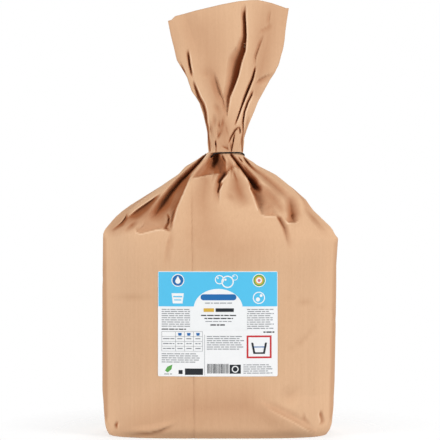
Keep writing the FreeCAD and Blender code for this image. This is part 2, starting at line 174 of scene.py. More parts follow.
class Finish:
    """A material under construction, with one method for every kind of node."""

    def __init__(self, name):
        self.material = bpy.data.materials.new(name)
        self.material.use_nodes = True
        self.tree = self.material.node_tree
        self.surface = self.tree.nodes["Principled BSDF"]

    def node(self, kind, output, settings=None, **inputs):
        node = self.tree.nodes.new(f"ShaderNode{kind}")
        for key, value in (settings or {}).items():
            setattr(node, key, value)
        for key, value in inputs.items():
            self.feed(node, key.replace("_", " "), value)
        return Wire(self.tree, node.outputs[output])

    def feed(self, node, name, value):
        if isinstance(value, Wire):
            self.tree.links.new(value.socket, node.inputs[name])
        else:
            node.inputs[name].default_value = value

    def place(self, scale):
        """Object coordinates, stretched by a scale in each direction."""
        where = self.node("TexCoord", "Object")
        return self.node("Mapping", 0, Vector=where, Scale=scale)

    def noise(self, scale, size=1.0, detail=3.0):
        return self.node("TexNoise", 0, Vector=self.place(scale), Scale=size, Detail=detail)

    def between(self, share, first, second):
        """A mix of two colours."""
        node = self.tree.nodes.new("ShaderNodeMix")
        node.data_type = "RGBA"
        for slot, value in ((0, share), (6, first), (7, second)):
            if isinstance(value, Wire):
                self.tree.links.new(value.socket, node.inputs[slot])
            else:
                node.inputs[slot].default_value = value
        return Wire(self.tree, node.outputs[2])

    def ramp(self, value, low, high, first, last):
        """A straight ramp between two values, level outside them."""
        node = self.tree.nodes.new("ShaderNodeMapRange")
        for slot, number in (("From Min", low), ("From Max", high), ("To Min", first), ("To Max", last)):
            node.inputs[slot].default_value = number
        self.tree.links.new(value.socket, node.inputs["Value"])
        return Wire(self.tree, node.outputs[0])

    def bump(self, height, distance, strength=1.0, under=None):
        inputs = {"Height": height, "Distance": distance, "Strength": strength}
        if under is not None:
            inputs["Normal"] = under
        return self.node("Bump", 0, **inputs)

    def shade(self, **inputs):
        for key, value in inputs.items():
            self.feed(self.surface, key.replace("_", " "), value)
        return self.material


def colour(red, green, blue):
    """A colour as a screen shows it, 0 to 255, turned into the light that a node wants."""
    def linear(value):
        share = value / 255
        return share / 12.92 if share <= 0.04045 else ((share + 0.055) / 1.055) ** 2.4
    return (linear(red), linear(green), linear(blue), 1.0)


# %% [markdown]
# The floor is matt white card. A plain white material would show the rim of the disc, so the
# sheet turns clear from its middle outwards, by a round gradient in the floor's own coordinates.

# %% Floor sheet
def fading_white():
    """White that turns clear towards the rim of the floor."""
    sheet = Finish("fading_white")
    spread = sheet.place((1 / FLOOR_RADIUS,) * 3)
    far = sheet.node("TexGradient", "Fac", {"gradient_type": "SPHERICAL"}, Vector=spread)
    solid = sheet.node("MapRange", 0, None, Value=far, From_Min=0.02, From_Max=0.5, To_Max=0.4)
    return sheet.shade(Base_Color=(0.9, 0.9, 0.9, 1), Roughness=0.9, Alpha=solid,
                       Emission_Color=(1, 1, 1, 1), Emission_Strength=0.1)


floor.data.materials.append(fading_white())


# %% [markdown]
# Kraft paper is brown, unbleached and matt, with long fibres, fine ribs from the paper machine and
# a few dark specks. It could be a scanned picture, but noise at four scales gives the same grain
# from close by and from afar. A number called fold paints light and shade into the colour: up to 1
# in a closed fold, painted shade, dark and warm, and below 0 on the lip of a fold, a pale painted highlight.

# %% Kraft paper
def kraft_paper():
    paper = Finish("kraft_paper")
    clouds = paper.noise((9, 9, 7), detail=4.0)
    fibres = paper.noise((900, 900, 260), detail=5.0)
    ribs = paper.noise((420, 420, 5), detail=2.0)
    specks = paper.noise((1500, 1500, 700), detail=1.0)
    tone = clouds * 0.45 + fibres * 0.3 + ribs * 0.25
    base = paper.between(tone, colour(198, 155, 119), colour(229, 190, 154))
    flecked = paper.between((specks - 0.68) * 2.2, base, colour(150, 104, 66))
    fold = paper.node("Attribute", "Fac", {"attribute_name": "fold"})
    # Painted highlight: a pale colour on the lips of folds, where fold is below 0.
    lip_highlight = paper.between(paper.ramp(fold, 0.0, -0.35, 0.0, 0.8), flecked, colour(246, 214, 182))
    # Painted shade: warm brown where fold is above 0, and near black in the most closed folds.
    shaded = paper.between(paper.ramp(fold, 0.0, 0.7, 0.0, 0.88), lip_highlight, colour(146, 74, 26))
    folded = paper.between(paper.ramp(fold, 0.76, 1.0, 0.0, 0.66), shaded, colour(56, 29, 14))
    crumple = paper.node(
        "TexVoronoi", "Distance", {"feature": "DISTANCE_TO_EDGE"}, Vector=paper.place((34, 34, 24)), Scale=1.0
    )
    soft = paper.noise((30, 30, 20), detail=2.0)
    first = paper.bump(soft, 0.0016, 0.45)
    second = paper.bump(crumple, 0.0008, 0.12, first)
    grain = paper.bump(fibres * 0.6 + ribs * 0.4, 0.00025, 0.35, second)
    return paper.shade(
        Base_Color=folded, Roughness=fibres * 0.16 + 0.66, Normal=grain, Specular_IOR_Level=0.2
    )


kraft = kraft_paper()
print("kraft paper has", len(kraft.node_tree.nodes), "nodes")

# %% [markdown]
# The bag. The real one is a flat paper tube with a folded foot. Powder fills it out to a pillow
# with rounded corners, and the tie draws its walls together in folds. It could be modelled by a
# cloth simulation, but the folds of stiff paper are few, sharp and all different, and the picture
# shows where each one runs. So the sheet starts as a flat grid, is rolled into the pillow's
# smooth form, and each fold is then pressed in along its own crease.

# %% Outline of the bag
# Edges of the bag in the picture, from the top down, as (row, column).
LEFT_EDGE = (
    (0, 164), (22, 167), (36, 170), (60, 176), (78, 187), (90, 191), (102, 199), (114, 203), (132, 206.5),
    (151, 208.5), (152, 206.5), (154.5, 202), (160.7, 194.5), (166.8, 184.2), (174.4, 177), (181.7, 165.8),
    (192.8, 149), (205, 130.6), (211.2, 122.6), (216.5, 117.2), (224.2, 110), (233.4, 103.6), (236, 103),
    (390, 103), (420, 105.7), (427, 107.2), (431, 109.5), (434, 113), (438, 118),
)
RIGHT_EDGE = (
    (0, 291), (8, 290), (22, 287.6), (41, 285.4), (50, 283.7), (64.3, 279.6), (73, 275.3), (80, 270.2),
    (87.5, 266), (102, 258), (120, 251), (138, 244.5), (151, 243), (154, 243.5), (157, 247), (165, 257),
    (175, 276.5), (188, 294), (200, 306.5), (211, 313), (226, 328), (238, 338), (264, 336), (330, 335),
    (380, 334), (403, 333), (421, 331), (427, 329), (431, 326), (435, 321), (438, 316),
)
MOUTH_EDGE = (
    (167, 22), (174, 20.2), (178, 16.6), (198.4, 11.2), (221.6, 5.4), (238.6, 1.8), (250, 0.5), (257, 0.5),
    (270, 3.6), (284, 8.5), (290, 8.5),
)


def edge_of(rows):
    """Heights and side places of an edge, sorted from the foot up."""
    places = sorted((from_picture(column, row)[::-1] for row, column in rows))
    return np.array([z for z, x in places]), np.array([x for z, x in places])


left_z, left_x = edge_of(LEFT_EDGE)
right_z, right_x = edge_of(RIGHT_EDGE)
mouth_x, mouth_z = map(np.array, zip(*(from_picture(*spot) for spot in MOUTH_EDGE)))
TIE_HEIGHT, TIE_DROP, NECK_DEEP = 286.8, 3.6, 13.0
# Half depth of the body by height, and the squareness of its section.
DEEP = (
    (0, 54), (3, 59), (8, 62.5), (20, 64.5), (42, 66), (180, 66), (196, 64), (210, 60), (225, 54),
    (240, 46), (255, 35), (268, 24), (278, 16), (284, 13), (290, 13), (300, 12), (318, 10.5),
    (345, 8), (380, 6), (446, 5),
)
SQUARE = ((0, 3.6), (42, 2.9), (200, 2.9), (250, 2.7), (286, 2.3), (330, 2.5), (446, 2.8))


def by_height(stations, z):
    heights, values = zip(*stations)
    return np.interp(z, heights, values)


def smooth_by_height(stations, z, reach=4.0):
    """As by_height, with the corners rounded off."""
    offsets = np.linspace(-reach, reach, 9)
    return np.mean([by_height(stations, z + offset) for offset in offsets], axis=0)


# %% [markdown]
# The smooth form is a stack of rings, from the foot up to the mouth. A ring is a rounded box in
# the body and flattens into the fan. Half of the columns would be wasted on the plain back, so
# they lie closer together in front. The rows are closest where the folds are sharpest.

# %% The smooth form
COLUMNS = 430
BACK_SHARE = 0.5
FOOT_ROWS = [0.0, 0.5, 1.6, 3.2, 5.2, 7.4] + [9.2 + 1.55 * step for step in range(31)]
WALL_ROWS = [55.7 + 5.0 * step for step in range(1, 27)]
SHOULDER_ROWS = list(np.linspace(WALL_ROWS[-1], 281, 72)[1:]) + [282.2, 283.4, 284.6, 285.8, TIE_HEIGHT]
FAN_ROWS = 78
levels = [height / TIE_HEIGHT for height in FOOT_ROWS + WALL_ROWS + SHOULDER_ROWS]
levels += [1 + (step / FAN_ROWS) ** 1.25 for step in range(1, FAN_ROWS + 1)]
INNER = 10
SLOT_DEPTH, PAPER = 42.0, 0.9


def section_columns(z):
    """Evenly spaced places round the section at a height, as shares of its half sizes."""
    half = (np.interp(z, right_z, right_x) - np.interp(z, left_z, left_x)) / 2
    deep, square = smooth_by_height(DEEP, z), by_height(SQUARE, z)
    angle = np.pi + np.linspace(0, 2 * np.pi, 4001)
    across = np.sign(np.cos(angle)) * np.abs(np.cos(angle)) ** (2 / square)
    along = np.sign(np.sin(angle)) * np.abs(np.sin(angle)) ** (2 / square)
    steps = np.hypot(np.diff(across * half), np.diff(along * deep))
    steps *= np.where(along[1:] < 0, 1.0, BACK_SHARE)
    travelled = np.concatenate(([0], np.cumsum(steps)))
    wanted = travelled[-1] * np.arange(COLUMNS) / COLUMNS
    return np.interp(wanted, travelled, across), np.interp(wanted, travelled, along)


def height_of(level, across):
    """Height of a level. Above the tie the levels bend up to the edge of the mouth."""
    if level <= 1:
        return np.full_like(across, level * TIE_HEIGHT)
    side = mouth_x[0] + (mouth_x[-1] - mouth_x[0]) * (across + 1) / 2
    top = np.interp(side, mouth_x, mouth_z)
    return TIE_HEIGHT + (level - 1) * (top - TIE_HEIGHT)


def smooth_ring(level):
    nominal = height_of(level, np.zeros(1))[0]
    across, along = section_columns(nominal)
    z = height_of(level, across)
    left, right = np.interp(z, left_z, left_x), np.interp(z, right_z, right_x)
    x = (left + right) / 2 + across * (right - left) / 2
    return x, along * smooth_by_height(DEEP, z), z, across, along


# %% [markdown]
# The folds. Each crease is a line in the picture. Every point of it gives a depth in mm and how
# far the fold reaches to its left and right, in pixels, going down. A short reach on one side
# makes a lap, where one panel of paper stands in front of the next.

# %% Creases of the front
# column, row, depth, reach to the left, reach to the right
SHOULDER_CREASES = {
    "left_pocket": [
        (206.5, 152, 8, 2, 1.2), (202.5, 157.5, 10, 2.4, 1.3), (199, 162, 10, 3.4, 2),
        (190, 172, 12, 5, 2.5), (180, 181, 14, 5, 7), (170, 192, 14, 5, 11), (161, 204, 12, 5, 14),
        (155, 213, 8, 5, 16), (150, 221, 0, 5, 16)],
    "left_step": [
        (192, 174, 0, 5, .8), (189, 178, 3, 5, .8), (183, 192, 3.5, 6, .8), (176, 208, 3.5, 6, .8),
        (172.5, 221, 3, 5, .8), (171, 231, 0, 4, .8)],
    "left_slit": [
        (160, 193.5, 0, 1, 1.5), (152, 199.5, 3.5, 1, 4), (143, 205.5, 5, 1, 7), (135, 211, 4.5, 1, 8),
        (129.5, 216, 2, 1, 7), (128, 219, 0, 1, 5)],
    "left_lip": [
        (135, 227, 0, 1, 6), (136.5, 231.5, 2, 1, 8), (140, 233, 2.5, 1, 10), (146, 231.4, 3, 1, 12),
        (154, 229.3, 3.5, 1, 14), (161, 228, 3.5, 1, 13), (166, 229, 3, 1, 11), (171, 232, 0, 1, 6)],
    "left_corner": [
        (125, 212, 0, 1, 2), (124, 218, 3, 1, 3), (120, 223, 3, 1, 4), (113, 228, 1.5, 1, 3),
        (109, 231, 0, 1, 2)],
    "left_faint": [(137, 220, 0, 2, 3), (131, 225, 2, 2, 4), (123, 232, 0, 2, 3)],
    "left_crumple": [
        (167, 213, 0, 1.5, 1), (169, 218, 3.5, 2, 1), (168.5, 223, 3, 2, 1), (166, 228, 2, 3, 1),
        (171, 232, 0, 2, 1)],
    "left_ridge": [
        (203, 160, -1, 1, 5), (193, 174, -2.5, 1, 9), (184, 191, -3, 1, 10), (176, 212, -2.5, 1, 10),
        (171, 232, 0, 1, 10)],
    "centre_pocket": [
        (214, 153, 7, 5, 8), (214, 158, 9, 7, 10), (212, 165, 8, 11, 12), (209, 171, 4, 13, 14),
        (208, 176, 0, 14, 15)],
    "pocket_lip": [
        (192, 177, 0, 1, 3), (197, 176.6, 3, .9, 7), (205, 175, 5, .9, 12), (213, 173.6, 5, .9, 14),
        (219, 173, 4, .9, 12), (225, 173.5, 0, .9, 6)],
    "pocket_core": [(217, 153.5, 5, 3, 4), (216.5, 160, 7, 3.5, 5), (214, 167, 3, 4, 5), (212, 171, 0, 4, 4)],
    "notch": [
        (228, 171.5, 0, 3, .8), (226.4, 174.5, 4.5, 5, .8), (222.8, 178.6, 4, 6, .8),
        (219.5, 182, 3, 5, .8), (216.5, 182, 0, 3, .8)],
    "notch_two": [
        (222.8, 182, 0, 1, .8), (221, 186, 3, 2.6, .8), (219, 190.5, 2.4, 2.2, .8), (218, 194, 0, 1, .8)],
    "tongue_left": [
        (232, 167, 0, 4, .6), (225, 175, 4, 7, .8), (221, 181, 5, 6, .8), (219, 189, 3, 6, .8),
        (218.5, 205, 0, 6, .8)],
    "tongue_right": [
        (231, 155, 4, 1.5, 2.5), (237, 163, 7, 1.5, 4), (243, 171, 9, 1.5, 5), (250, 181, 12, 1.2, 8),
        (256, 187.5, 9, 4, 6), (263, 189, 0, 6, 4)],
    "right_facet": [
        (251, 188, 9, 1.2, 12), (255, 197, 9, 1.2, 20), (258, 206, 7, 1.2, 24), (261, 212, 3, 1.5, 24),
        (263, 215, 0, 2, 20)],
    "right_lip": [(260, 213, 0, 1, 5), (266, 215, 3, 1, 12), (273, 215.5, 3.5, 1, 16), (279, 215, 0, 1, 12)],
    "dimple_lip": [(285, 218, 0, 1, 6), (289, 222, 4.5, 1, 14), (295, 222.5, 4, 1, 14), (300, 219, 0, 1, 8)],
    "neck_slit": [
        (244, 156.8, 3, 1.2, 1.6), (247, 161.6, 5, 1.6, 1.6), (250, 165.6, 3, 1.4, 2),
        (256, 171, 1.6, 1.5, 3), (263, 176, 0, 1.5, 3)],
    "right_strip": [(252, 166, 0, 3, 3), (265, 177, 3, 5, 4), (280, 190, 3, 6, 5), (294, 202, 0, 6, 5)],
    "tongue_top": [
        (226, 172.5, 0, .9, 3), (230, 169.4, 1.2, .9, 4), (235.5, 166.4, 1.6, .9, 4),
        (239, 168.5, 0, .9, 3)],
    "right_soft": [(262, 186, 0, 4, 6), (272, 196, 2.5, 5, 8), (280, 207, 2, 4, 6), (284, 214, 0, 3, 5)],
    "right_dimple": [(289, 195, 0, 5, 8), (291, 206, 5, 6, 10), (292, 215, 5.5, 5, 11), (293, 222, 0, 5, 11)],
    "right_crease": [(276, 215, 0, 1, 2), (279, 219, 3, 1.5, 4), (284, 228, 2.8, 2, 5), (290, 250, 0, 2, 5)],
    "right_edge": [(305, 206, 0, 4, 2), (316, 218, 2, 5, 2.5), (330, 234, 0, 5, 2)],
    "pleat": [
        (209.5, 147, 0, 2.5, 2.5), (210, 153, -2.4, 3, 2.8), (208, 159, -2.6, 3, 2.5),
        (203, 168, 0, 3, 2.5)],
    "rib_one": [
        (222, 154.5, 0, 1.2, 1), (223.6, 157.8, 3, 1.4, 1), (225.4, 161, 1.6, 2, 1), (226, 170, 0, 3, 1)],
    "rib_two": [(238, 156, 0, 1, 1.2), (240.8, 159.6, 2.4, 1.2, 1.2), (243.4, 163, 0, 1, 1.2)],
    "tongue_dent": [(238, 186, 0, 4, 4), (241, 194, 1.6, 7, 5), (246, 201, 1.4, 9, 5), (252, 206, 0, 6, 5)],
    "tongue_dent_two": [(224, 192, 0, 4, 3), (230, 196, 1.2, 5, 3), (236, 201, 0, 4, 3)],
    "foot_right_ridge": [
        (256, 401, 0, 7, 3), (268, 407, -1.6, 14, 3), (284, 415.5, -2.4, 18, 3), (300, 424, -2.2, 16, 2.5),
        (316, 434, -1.2, 8, 2)],
    "foot_right_line": [
        (262, 404, 0, .8, 5), (276, 412, 1.2, 1, 8), (293, 421, 1.6, 1, 9), (309, 431, 1, 1, 6),
        (318, 437, 0, 1, 3)],
    "foot_hollow": [(282, 388, 0, 10, 14), (290, 397, 1.6, 12, 16), (296, 406, 0, 12, 14)],
    "foot_corner": [(322, 412, 0, 1, 3), (321, 417, 2.2, 1, 4), (323, 424, 1.6, 1, 4), (320, 428, 0, 1, 3)],
    "foot_corner_two": [(304, 413, 0, 2, 2), (305, 420, 1, 3, 2), (312, 427, 0, 3, 2)],
    "foot_left_ridge": [
        (178, 422, 0, 3, 2), (165, 427, -1.4, 5, 3), (152, 432, -1.6, 6, 3), (135, 433.5, -1.6, 6, 2),
        (118, 435.5, 0, 4, 2)],
    "foot_left_line": [
        (172, 426, 0, .8, 3), (160, 431, 1.2, .8, 5), (147, 434.5, 1.2, .8, 4), (128, 436, 0, .8, 3)],
    "foot_left_corner": [(117, 423, 0, 2, 1), (115.5, 428, 2.4, 3, 1), (116, 433, 0, 3, 1)],
    "label_left_dent": [
        (172, 229, 0, 2, 4), (168, 243, 1.3, 2, 6), (166, 258, 0.8, 3, 6), (165, 267, 0, 3, 5)],
    "label_left_ridge": [(165, 238, 0, 3, 3), (168, 250, -0.8, 3, 4), (170, 262, 0, 3, 4)],
    "right_long": [(301, 236, 0, 8, 8), (298, 260, -0.9, 10, 8), (303, 300, 0, 10, 8)],
    "wall_left_line": [(100, 296, 0, 2, 3), (130, 297.5, 0.5, 2, 3), (157, 298, 0, 2, 3)],
    "wall_right_line": [(280, 297, 0, 2, 3), (305, 303, 0.5, 2, 3), (333, 310, 0, 2, 3)],
    "wall_right_cross": [(284, 352, 0, 2, 3), (302, 343, 0.6, 2, 4), (322, 322, 0, 2, 3)],
}
FAN_CREASES = {
    "lap": [
        (245, 4, 0, 4, .8), (245.5, 10, 2, 5, .8), (245.4, 16, 6, 5, .7), (246, 24, 7, 5, .6),
        (246.5, 36, 7, 6, .6), (245.5, 50, 9, 11, .6), (241.5, 62, 10, 14, .6), (238.5, 75, 10, 13, .6),
        (234.5, 86, 8, 10, .6), (230, 97, 5, 8, .6), (228, 110, 2, 6, .6), (227, 118, 0, 4, .6)],
    "slit": [
        (255.2, 66, 0, 1, 1.2), (254.6, 71, 4, 1.8, 1.3), (252.6, 79, 6, 2.4, 1.3),
        (249, 88, 6.5, 3, 1.3), (244.5, 99, 6, 2.4, 1.3), (241.5, 107, 4, 1.6, 1.2),
        (238, 117, 3.5, 1.4, 1.2), (234.6, 126, 0, 1, 1)],
    "slit_above": [(264, 34, 0, 2, 1), (260.5, 43, 1.4, 3, 1), (256, 56, 1.5, 3, 1), (254.6, 67, 0, 3, 1)],
    "right_slit": [
        (253, 90, 0, 2, 1), (251.6, 95, 3, 2.2, 1.2), (248, 102, 4, 2.2, 1.2), (244.6, 112, 4, 1.8, 1),
        (243.2, 122, 3, 1.6, 1), (243, 136, 0, 1.4, 1)],
    "facet": [
        (255.5, 84, 0, 4, 1), (259, 79.5, 2, 6, 1), (264, 76.5, 2, 7, 1), (270.5, 74, 1, 7, 1),
        (275, 72, 0, 5, 1)],
    "left_slit": [
        (188, 49, 0, 3, 1), (189, 56, 4, 3, 1), (190, 64, 5, 2.6, 1), (191.4, 71, 3, 2.6, 1),
        (192, 77, 0, 2, 1)],
    "left_nick": [(180, 62, 0, 2, 1), (184, 70, 2.5, 3, 1), (187, 79, 0, 3, 1)],
    "left_seam": [
        (193, 80, 0, 2, 1), (196, 87, 3, 3, 1), (200, 97, 4, 4, 1.2), (204, 104, 4, 4, 1.2),
        (206, 112, 3.5, 3, 1.2), (207, 122, 2.5, 2, 1), (210, 134, 0, 2, 1)],
    "soft_valley": [
        (213, 72, 0, 5, 1.5), (217, 81, 2.6, 8, 1.4), (220, 90, 3.2, 8, 1.4), (222.5, 98, 2.6, 7, 1.4),
        (226, 112, 0, 4, 1)],
    "soft_dent": [(198, 72, 0, 3, 6), (206, 74, 1.2, 4, 9), (216, 73, 0, 3, 6)],
    "dent": [(212, 104, 0, 3, 3), (217, 108, 1.2, 4, 4), (222, 116, 0, 3, 3)],
    "fan_left_wave": [(184, 12, 1.5, 12, 12), (192, 35, 1.5, 10, 14), (200, 60, 0, 8, 10)],
    "fan_right_wave": [(262, 8, 0, 8, 7), (258, 40, 1.2, 8, 7), (256, 60, 0, 5, 5)],
    "fan_right_line": [
        (258, 31, 0, 3, 1), (262, 29.6, 1.1, 5, 1.2), (268.5, 26, 1, 5, 1.2), (271, 22, 0, 3, 1)],
    "fan_right_line_two": [(270.6, 9, 0, 2, 1), (269.4, 18, .9, 4, 1.2), (268.5, 26, 0, 3, 1)],
}
NECK_CREASES = {
    "crumple_one": [(213, 113, 0, 2.5, 3), (214, 121, 1.2, 2.5, 3), (212, 130, 0, 2.5, 3)],
    "pleat_above": [(209.5, 139, 0, 1.5, 2), (210, 149, -2, 2.5, 2.5), (210, 154, -2.4, 3, 2.8)],
    "crumple_two": [(223, 128, 0, 1.5, 2), (219, 135, 1.4, 1.5, 2), (216.6, 140, 0, 1.5, 1.5)],
    "crumple_three": [
        (240, 126, 0, 1, 1.5), (235, 130, 3, 1.2, 1.4), (231, 137, 2.5, 1.2, 1.2), (228.2, 144, 0, 1, 1)],
    "crumple_four": [
        (235, 132, 0, 1, 1), (233.6, 139, 2.6, 1.1, 1), (232.4, 146, 2, 1, 1), (231.4, 151, 1.4, .9, .9)],
    "crumple_five": [(239, 126, 0, 1.2, 1.2), (240, 130, 3, 1.2, 1.2), (240, 134, 0, 1, 1)],
    "crumple_six": [
        (215.6, 139.5, 0, 1, 1), (215.8, 143.5, 3.4, 1.2, 1), (216.2, 147, .8, 1, 1),
        (216, 152, .8, 1, 1)],
    "crumple_seven": [(221, 145.5, 0, 1, 1), (225, 147.4, 1.4, 1.2, 1.2), (230, 150, 0, 1, 1)],
    "crumple_eight": [(207.6, 124, 0, 1, 1), (208.4, 136, 2.4, 1.2, 1.2), (210, 150, 1.4, 1, 1)],
    "crumple_nine": [(242.6, 130, 0, 1, 1), (242, 142, 2, 1.2, 1.2), (242.4, 150, 1.5, 1, 1)],
}

# %% [markdown]
# Painted shade: in the broad hollows between the folds, along the rims and over the foot, the colour
# is made darker and warmer, as the paper there is lit dimly, much of it by the paper round it. Each of
# these soft places is a line too. Its third number is how dark it is.

# %% Painted shade on the front
FRONT_PAINTED_SHADE = {
    "left_shoulder": [
        (112, 229, .26, 9, 9), (130, 222, .36, 12, 12), (148, 214, .44, 14, 14), (166, 203, .42, 12, 12)],
    "left_slit": [(158, 197, .2, 2, 4), (146, 205, .5, 2, 8), (134, 213, .5, 2, 8), (126, 218, .3, 2, 6)],
    "under_the_tie": [
        (203, 173, .14, 8, 8), (211, 163, .5, 7, 8), (217, 162, .74, 8, 7), (220, 170, .6, 8, 7)],
    "under_the_pleat": [
        (219, 155, .3, 4, 1.6), (222, 159, .6, 7, 1.6), (225, 166, .66, 8, 1.4), (226, 174, .4, 8, 1.4),
        (222, 179, .2, 7, 1.4)],
    "beside_the_slit": [(242, 163, .1, 3, 4), (248, 171, .3, 3, 5), (255, 179, .3, 4, 6)],
    "tongue": [
        (235, 172, .3, 3, 4), (236, 179, .54, 8, 8), (238, 188, .54, 13, 12), (242, 199, .3, 14, 10),
        (245, 208, 0, 12, 9)],
    "neck": [
        (224, 112, .12, 14, 14), (224, 128, .26, 17, 17), (225, 144, .3, 18, 18),
        (225, 153, .16, 18, 18)],
    "panel": [(206, 181, .34, 12, 10), (203, 200, .28, 18, 14), (206, 226, .16, 24, 24)],
    "above_label": [(200, 246, .1, 28, 28), (222, 250, .14, 32, 32), (250, 248, .1, 28, 28)],
    "right_side": [
        (252, 196, .08, 6, 12), (262, 204, .16, 8, 14), (276, 208, .14, 10, 12), (287, 212, .04, 10, 8)],
    "dimple": [(291, 203, .2, 7, 9), (293, 214, .42, 7, 8), (294, 221, .2, 6, 7)],
    "right_strip": [(262, 172, .06, 6, 6), (277, 186, .14, 8, 8), (292, 200, .12, 8, 8)],
    "fan_right": [(270, 12, .2, 20, 20), (268, 40, .26, 20, 16), (262, 66, .3, 15, 14), (256, 92, .2, 9, 9)],
    "fan_left": [
        (205, 30, .16, 32, 32), (209, 58, .18, 22, 26), (212, 80, .28, 13, 14), (216, 100, .26, 9, 8),
        (222, 130, .14, 9, 9)],
    "left_rim": [(102, 240, .2, 8, 3), (103, 330, .26, 8, 3), (104, 420, .28, 8, 3)],
    "right_rim": [(338, 244, .16, 3, 8), (336, 330, .22, 3, 8), (333, 420, .22, 3, 8)],
    "foot": [
        (130, 428, .12, 20, 20), (190, 408, .2, 34, 34), (245, 406, .24, 34, 32),
        (290, 430, .12, 16, 12)],
}

# %% [markdown]
# Between the long creases the neck is full of small ones, all round. They are sown by a random
# number generator with a fixed seed, so that every run gives the same bag.

# %% Small creases
chance = np.random.default_rng(7)


def small_creases(count, low_row, high_row, lean):
    """Short creases between two rows of the picture, spread over the width there."""
    made = {}
    for number in range(count):
        row = chance.uniform(low_row, high_row)
        middle, half = 226 - (row - 150) * lean[0], np.interp(row, (60, 110, 150, 165), (50, 27, 18, 30))
        column = middle + chance.uniform(-0.95, 0.95) * half
        long = chance.uniform(7, 22)
        way = (column - middle) * lean[1] + chance.uniform(-0.25, 0.25)
        deep = chance.uniform(0.4, 1.2)
        near, far = chance.uniform(0.6, 1.0), chance.uniform(1.6, 3.6)
        if chance.random() < 0.5:
            near, far = far, near
        made[f"small_{low_row}_{number}"] = [
            (column - way * long / 2, row - long / 2, 0, near, far),
            (column, row, deep, near, far),
            (column + way * long / 2 + chance.uniform(-1, 1), row + long / 2, 0, near, far),
        ]
    return made


SMALL_NECK = small_creases(16, 119, 150, (-0.02, -0.012))
SMALL_BACK_NECK = small_creases(30, 90, 152, (-0.02, -0.012))
SMALL_SHOULDER = small_creases(26, 158, 176, (0, 0.03))
SMALL_BACK_SHOULDER = small_creases(26, 158, 178, (0, 0.03))

# %% [markdown]
# The back can't be seen in the picture. A tied bag is gathered all round, so the back has folds
# of the same kind that run out from the neck, fewer and plainer than in front.

# %% Creases of the back
BACK_CREASES = {}
for number, (near, far, down, depth, left, right) in enumerate((
    (210, 150, 214, 10, 1, 15), (214, 172, 228, 12, 14, 2), (219, 196, 200, 7, 3, 9),
    (224, 208, 216, 10, 12, 1.2), (228, 226, 192, 6, 6, 5), (231, 243, 222, 10, 1.2, 14),
    (236, 262, 204, 8, 9, 3), (240, 284, 226, 11, 2, 15), (243, 308, 212, 9, 13, 1.2),
)):
    BACK_CREASES[f"back_{number}"] = [
        (
            near + (far - near) * share, 154 + share * (down - 154), depth * part,
            1 + left * share, 1 + right * share,
        )
        for share, part in ((0, .3), (.2, .8), (.5, 1), (.8, .7), (1, 0))
    ]
BACK_WALL = {
    "cross": [(130, 262, 0, 3, 5), (168, 275, 1.1, 3, 8), (206, 281, 0, 3, 5)],
    "cross_two": [(240, 251, 0, 3, 4), (270, 262, 1.2, 2.5, 8), (306, 259, 0, 3, 4)],
    "upright": [(176, 233, 0, 3, 6), (180, 262, 1.0, 3, 9), (178, 300, 0, 4, 8)],
    "upright_two": [(252, 230, 0, 7, 3), (256, 256, 1.2, 9, 3), (252, 288, 0, 8, 3)],
    "low_cross": [(126, 352, 0, 3, 3), (160, 344, .8, 3, 6), (196, 350, 0, 3, 3)],
    "foot": [(150, 402, 0, 6, 3), (176, 410, 1.4, 14, 2.5), (204, 424, 1.4, 12, 2), (220, 434, 0, 6, 2)],
    "foot_two": [(304, 398, 0, 3, 6), (284, 408, 1.4, 2.5, 14), (262, 422, 1.4, 2, 12), (250, 433, 0, 2, 6)],
}

# %% [markdown]
# On the two narrow sides the paper has a folded-in gusset, with smaller folds on both its
# flanks that run up to the neck.

# %% Creases of the sides
# place from front to back in mm, height in mm, depth, reach to the front, reach to the back
SIDE_CREASES = [
    [(0, 276, 3, 3, 3), (0, 255, 8, 9, 9), (1, 232, 8, 15, 14), (2, 212, 4, 18, 17), (2, 196, 0, 18, 17)],
    [
        (-7, 276, 2, 2, 3), (-17, 254, 5, 3, 7), (-30, 230, 5, 4, 10), (-38, 212, 2.5, 5, 10),
        (-43, 200, 0, 5, 8)],
    [(6, 276, 2, 3, 2), (14, 258, 4, 6, 3), (27, 236, 5, 9, 4), (40, 214, 3, 9, 5), (47, 198, 0, 8, 5)],
    [(-30, 222, 0, 3, 4), (-24, 208, 2.5, 4, 6), (-22, 192, 2, 4, 7), (-20, 170, 0, 4, 7)],
    [(22, 226, 0, 3, 3), (24, 206, 2, 6, 3), (25, 184, 0, 6, 3)],
    [(4, 204, 0, 3, 3), (3, 176, 1.8, 12, 4), (1, 110, 1.7, 14, 3), (0, 60, 1.8, 12, 3), (0, 30, 0, 6, 3)],
    [(0, 62, 0, 3, 3), (-18, 34, 1.6, 2, 9), (-36, 12, 1.2, 2, 8), (-44, 4, 0, 2, 4)],
    [(0, 62, 0, 3, 3), (18, 34, 1.6, 9, 2), (36, 12, 1.2, 8, 2), (44, 4, 0, 4, 2)],
    [(-40, 178, 0, 3, 3), (-16, 160, 1.1, 6, 2), (10, 154, 0, 3, 2)],
    [(38, 132, 0, 3, 3), (20, 118, 1.0, 2, 6), (4, 116, 0, 2, 3)],
    [(-2, 300, 0, 2, 2), (-1, 330, 2, 3, 3), (0, 370, 3, 4, 4), (0, 410, 3, 5, 5), (0, 446, 3, 5, 5)],
]

# %% [markdown]
# A crease presses the sheet in, most along its line and less on both sides, out to its reach. A
# cloth brush or a sculpting tool would do the same by hand. Written as sums over all places at
# once, it gives the same bag each time, and every fold can be moved by itself.

# %% Pressing the creases in
def nearer_at(row):
    """How much nearer than the bag's middle the front is, at a row of the picture."""
    return np.interp(row, (0, 152, 180, 210, 235), (5, 13, 32, 56, 66))


